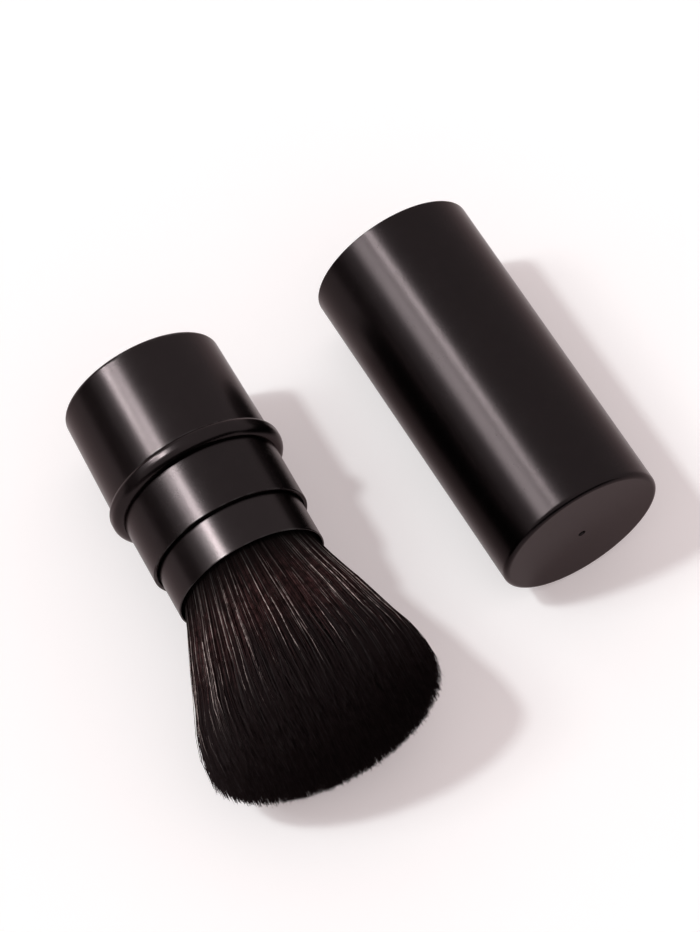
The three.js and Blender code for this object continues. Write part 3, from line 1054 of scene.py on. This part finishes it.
# %% The table's press and the lean
PRESS_DONE = 0.9  # The underside is pressed in full before the shoulder
grown = calc(g, "SUBTRACT", given["Shoulder Station"], given["Mouth Station"])
grown = calc(g, "DIVIDE", free, grown)
capped = calc(g, "MINIMUM", calc(g, "MAXIMUM", grown, 0.0), 1.0)
below = calc(g, "LESS_THAN", up, 0.0)
press = calc(g, "SUBTRACT", given["Pressed Share"], given["Top Share"])
press = calc(g, "MULTIPLY_ADD", below, press, given["Top Share"])
sooner = calc(g, "MULTIPLY_ADD", below, 1.0 / PRESS_DONE - 1.0, 1.0)
eased = calc(g, "MULTIPLY", capped, sooner, clamp=True)
flatter = calc(g, "MULTIPLY_ADD", calc(g, "SUBTRACT", press, 1.0), eased, 1.0)
up = calc(g, "MULTIPLY", up, flatter)
up = calc(g, "MAXIMUM", up, given["Lowest"])
leaning = calc(g, "MULTIPLY", calc(g, "MAXIMUM", grown, 0.0), given["Lean"])
across = calc(g, "SUBTRACT", across, leaning)
place = node(g, "ShaderNodeCombineXYZ", {"X": station, "Y": across, "Z": up}).outputs[0]
shift = node(g, "ShaderNodeVectorMath", {0: place, 1: given["Axis"]}, operation="ADD")
moved = node(g, "GeometryNodeSetPosition")
put(g, moved.inputs["Geometry"], flow)
put(g, moved.inputs["Position"], shift.outputs[0])
flow = moved.outputs[0]
print("press and lean")

# %% Sweeping the strands
TAPER_POWER = 3.0
TAPER = 0.75
flow = store(flow, "along", beyond)
thin = calc(g, "POWER", beyond, TAPER_POWER)
thin = calc(g, "SUBTRACT", 1.0, calc(g, "MULTIPLY", thin, TAPER))
thick = calc(g, "MULTIPLY", thin, calc(g, "MULTIPLY", given["Thickness"], 0.5))
section = node(g, "GeometryNodeCurvePrimitiveCircle")
section.inputs["Resolution"].default_value = 3
section.inputs["Radius"].default_value = 1.0
swept = node(g, "GeometryNodeCurveToMesh")
put(g, swept.inputs["Curve"], flow)
put(g, swept.inputs["Scale"], thick)
put(g, swept.inputs["Profile Curve"], section.outputs[0])
swept.inputs["Fill Caps"].default_value = True
smooth = node(g, "GeometryNodeSetShadeSmooth")
put(g, smooth.inputs["Geometry"], swept.outputs[0])
solid = node(g, "GeometryNodeRealizeInstances")
put(g, solid.inputs[0], smooth.outputs[0])
dull = node(g, "GeometryNodeSetMaterial")
put(g, dull.inputs["Geometry"], solid.outputs[0])
put(g, dull.inputs["Material"], given["Dull Material"])
glossy = node(g, "GeometryNodeSetMaterial")
put(g, glossy.inputs["Geometry"], dull.outputs[0])
is_glossy = calc(g, "LESS_THAN", stored("tone"), given["Glossy Share"])
put(g, glossy.inputs["Selection"], is_glossy)
put(g, glossy.inputs["Material"], given["Glossy Material"])
result = g.nodes.new("NodeGroupOutput")
g.links.new(glossy.outputs[0], result.inputs[0])
print("tree of", len(g.nodes), "nodes")

# %% [markdown]
# ## The filaments' finish
#
# The filaments are a soft brown-black. Most are dull, and swallow the light. About
# one in seven is glossier and lighter, and catches the lamps as a single fine line;
# its lighter colour, broken into dashes, is a painted glint besides its real gloss.
# Both turn to a deep dull black towards the dome, where only soft tapered tips show,
# a black that is partly the tips' own and partly painted shade for the light lost
# among them. Both are painted dark at the sleeve's mouth, a painted shade where the
# sleeve shades them. Numbers stored on every strand drive this: how far along it a
# point is, how long its own colour lasts, and a shade of its own.

# %% Filament materials
# Partly the tips' own black and partly painted shade for the light lost among them
TIP_BLACK_AND_SHADE = (0.0145, 0.0102, 0.0107, 1)
TIP_ROUGHNESS = 0.8
# Painted shade: the strands are painted this dark near the sleeve's mouth
PAINTED_MOUTH_SHADE = (0.004, 0.0028, 0.0028, 1)
ROOT_ROUGHNESS = 0.9
DASH_THRESHOLD = 0.36
DASH_CONTRAST = 4.0
SHADE_POWER = 1.2
UNEVEN_GLOSS = 0.2


def filament(name, low, high, roughness, specular, sheen_tint, roots, tips, crimp, least):
    """A finish between two colours, low and high. A painted shade at the sleeve's mouth
    ends at the share roots of a strand's length, and its dark tip, partly painted shade,
    comes on between the two shares in tips. Its dashes never fall under least, and
    crimp is how strong its bumps are."""
    material, tree, shader = new_material(name, 0.0, roughness, specular)
    shader.inputs["Specular Tint"].default_value = sheen_tint

    def on_strand(stored_name):
        return node(tree, "ShaderNodeAttribute", attribute_name=stored_name).outputs["Fac"]

    def ramp(value, first, last):
        made = node(
            tree,
            "ShaderNodeMapRange",
            {"Value": value, "From Min": first, "From Max": last},
            interpolation_type="SMOOTHSTEP",
        )
        return made.outputs[0]

    where = node(tree, "ShaderNodeTexCoord").outputs["Object"]
    grain = node(tree, "ShaderNodeTexNoise", {"Vector": where, "Scale": 700.0, "Detail": 3.0})
    # The dashes break up the dull strands' speckle and the glossy strands' painted glint
    dashes = calc(tree, "SUBTRACT", grain.outputs["Fac"], DASH_THRESHOLD)
    dashes = calc(tree, "MULTIPLY", dashes, DASH_CONTRAST, clamp=True)
    dashes = calc(tree, "MAXIMUM", dashes, least)
    tip_black_and_shade_share = ramp(calc(tree, "SUBTRACT", on_strand("along"), on_strand("lasting")), *tips)
    mouth_shade_share = ramp(on_strand("along"), roots, 0.0)
    shade = calc(tree, "POWER", on_strand("shade"), SHADE_POWER)
    shade = calc(tree, "MULTIPLY", shade, dashes)
    tint = blend_colour(tree, shade, low, high)
    # Towards the tips the colour goes to that black, which is partly painted shade
    tint = blend_colour(tree, tip_black_and_shade_share, tint, TIP_BLACK_AND_SHADE)
    # Painted shade near the sleeve's mouth, where the sleeve shades the strands
    tint = blend_colour(tree, mouth_shade_share, tint, PAINTED_MOUTH_SHADE)
    gloss = calc(
        tree, "MULTIPLY_ADD", grain.outputs["Fac"], UNEVEN_GLOSS, roughness - UNEVEN_GLOSS / 2
    )
    gloss = calc(tree, "MULTIPLY_ADD", tip_black_and_shade_share, TIP_ROUGHNESS - roughness, gloss)
    gloss = calc(tree, "MULTIPLY_ADD", mouth_shade_share, ROOT_ROUGHNESS - roughness, gloss)
    bump = node(
        tree,
        "ShaderNodeBump",
        {"Height": grain.outputs["Fac"], "Strength": crimp, "Distance": 0.0006},
    )
    tree.links.new(tint, shader.inputs["Base Color"])
    tree.links.new(gloss, shader.inputs["Roughness"])
    tree.links.new(bump.outputs[0], shader.inputs["Normal"])
    return material


dull_filament = filament(
    "dull_filament",
    low=(0.009, 0.004, 0.004, 1),
    high=(0.075, 0.034, 0.034, 1),
    roughness=0.5,
    specular=0.06,
    sheen_tint=(1, 0.6, 0.6, 1),
    roots=0.4,
    tips=(0.42, 0.68),
    crimp=0.4,
    least=0.0,
)
glossy_filament_with_painted_glint = filament(
    "glossy_filament_with_painted_glint",
    low=(0.07, 0.05, 0.047, 1),
    # This light colour is a painted glint along the glossy strands, besides their real gloss
    high=(0.6, 0.5, 0.47, 1),
    roughness=0.27,
    specular=0.25,
    sheen_tint=(1, 0.88, 0.85, 1),
    roots=0.42,
    tips=(0.5, 0.7),
    crimp=0.8,
    least=0.2,
)
print("filament finishes ready")

# %% [markdown]
# ## Growing the head
#
# The head is made in sectors, like slices of a cake. Each is a piece of its own,
# because when the sleeve runs forward it gathers the bristles, and a piece can
# gather along one direction only: a slice would gather towards the axis along its
# own middle line. How far it would have to go to clear the sleeve's bore is
# measured on the finished mesh below.

# %% Grow the sectors
SECTORS = 16
STRANDS_EACH = 1400
FIRST_SEED = 100
SEEDS_EACH = 20  # More than the chance numbers of one sector
ABOVE_TABLE = 0.25
sector_angle = 2 * math.pi / SECTORS
heads = []
for number in range(SECTORS):
    middle = (number + 0.5) * sector_angle
    blank = bpy.data.meshes.new("blank")
    grower = bpy.data.objects.new("grower", blank)
    scene.collection.objects.link(grower)
    modifier = grower.modifiers.new("strands", "NODES")
    modifier.node_group = strand_tree
    for title, value in (
        ("Strands", STRANDS_EACH),
        ("Seed", FIRST_SEED + SEEDS_EACH * number),
        ("Middle Angle", middle),
        ("Sector Angle", sector_angle),
        ("Root Station", ROOT_STATION * MM),
        ("Mouth Station", SLEEVE_FRONT * MM),
        ("Shoulder Station", SHOULDER_STATION * MM),
        ("Crown Station", CROWN_STATION * MM),
        ("Root Radius", ROOT_RADIUS * MM),
        ("Mouth Radius", MOUTH_RADIUS * MM),
        ("Head Radius", HEAD_RADIUS * MM),
        ("Pressed Share", PRESSED_SHARE),
        ("Top Share", TOP_SHARE),
        ("Lean", LEAN * MM),
        ("Lowest", ABOVE_TABLE * MM - BRUSH_AXIS.z),
        ("Thickness", 0.2 * MM),
        ("Ragged", 1.6 * MM),
        ("Stray", 1.3 * MM),
        ("Drift", 1.5 * MM),
        ("Longer", 0.8 * MM),
        ("Tufting", 0.35),
        ("Glossy Share", 0.15),
        ("Axis", tuple(BRUSH_AXIS)),
        ("Dull Material", dull_filament),
        ("Glossy Material", glossy_filament_with_painted_glint),
    ):
        modifier[strand_inputs[title]] = value
    grown_sector = grower.evaluated_get(bpy.context.evaluated_depsgraph_get())
    mesh = bpy.data.meshes.new_from_object(grown_sector)
    mesh.name = f"bristles_{number + 1:02d}"
    head = bpy.data.objects.new(mesh.name, mesh)
    scene.collection.objects.link(head)
    bpy.data.objects.remove(grower)
    bpy.data.meshes.remove(blank)
    heads.append((head, middle))
print(SECTORS, "sectors of", len(heads[0][0].data.polygons), "faces")

# %% [markdown]
# ## How far the head would gather
#
# At the sleeve's forward limit every point behind its front edge has to be inside
# its bore, and so has the next point of each strand, or the strand would cut the
# edge on its way there. The share that would be kept is worked out for each slice
# from its widest strands: the part of a point's distance that lies across the slice
# would stay as it is, and the part that lies along its middle line would be scaled.
# The script works out and prints that share, and doesn't scale the slices.

# %% How far each slice would gather
GATHERED_RADIUS = 15.55 * MM
NEXT_POINT = 5.0
WELL_OUT = 3.0
LEAST_KEPT = 0.4
NODE_OF_QUARTER = ("bristles_left", "bristles_top", "bristles_right", "bristles_bottom")


def share_kept(mesh, direction):
    co = np.empty(len(mesh.vertices) * 3)
    mesh.vertices.foreach_get("co", co)
    co = co.reshape(-1, 3) - np.array(BRUSH_AXIS)
    last_station = SLEEVE_FRONT + SLEEVE_TRAVEL + NEXT_POINT
    gathered = co[co[:, 0] < last_station * MM]
    towards = gathered @ np.array(direction)
    side = np.array((0.0, -direction[2], direction[1]))
    sideways = gathered @ side
    room = np.sqrt(np.maximum(GATHERED_RADIUS**2 - sideways**2, 0.0))
    wide = towards > WELL_OUT * MM
    return float(np.clip((room[wide] / towards[wide]).min(), LEAST_KEPT, 1.0))


for head, middle in heads:
    direction = (0.0, math.cos(middle), math.sin(middle))
    keep = share_kept(head.data, direction)
    quarter = int(((math.degrees(middle) + 45) % 360) // 90)
    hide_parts(NODE_OF_QUARTER[quarter])
    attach(head, "brush")
    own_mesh(head)
    print(head.name, "keeps", round(keep, 3))

# %% [markdown]
# ## The resin bed
#
# The roots stand in a disc of black resin at the bottom of the ferrule. Nothing of
# it shows, but the strands have to be held by something.

# %% Resin
RESIN_REAR = 26.62
RESIN_FRONT = 29.5
RESIN_RADIUS = 14.52
RESIN_CREEP = (29.62, 14.3)  # Where the resin has crept a little up the roots
resin = turned(
    "resin_bed",
    [
        (RESIN_REAR, 0),
        (RESIN_REAR, RESIN_RADIUS),
        (RESIN_FRONT, RESIN_RADIUS),
        RESIN_CREEP,
        (RESIN_FRONT, 0),
    ],
    BRUSH_AXIS,
    sides=64,
)
resin_black = moulded("resin_black", (0.01, 0.009, 0.009, 1), 0.4)
dress(resin, resin_black, "brush", "bristle")
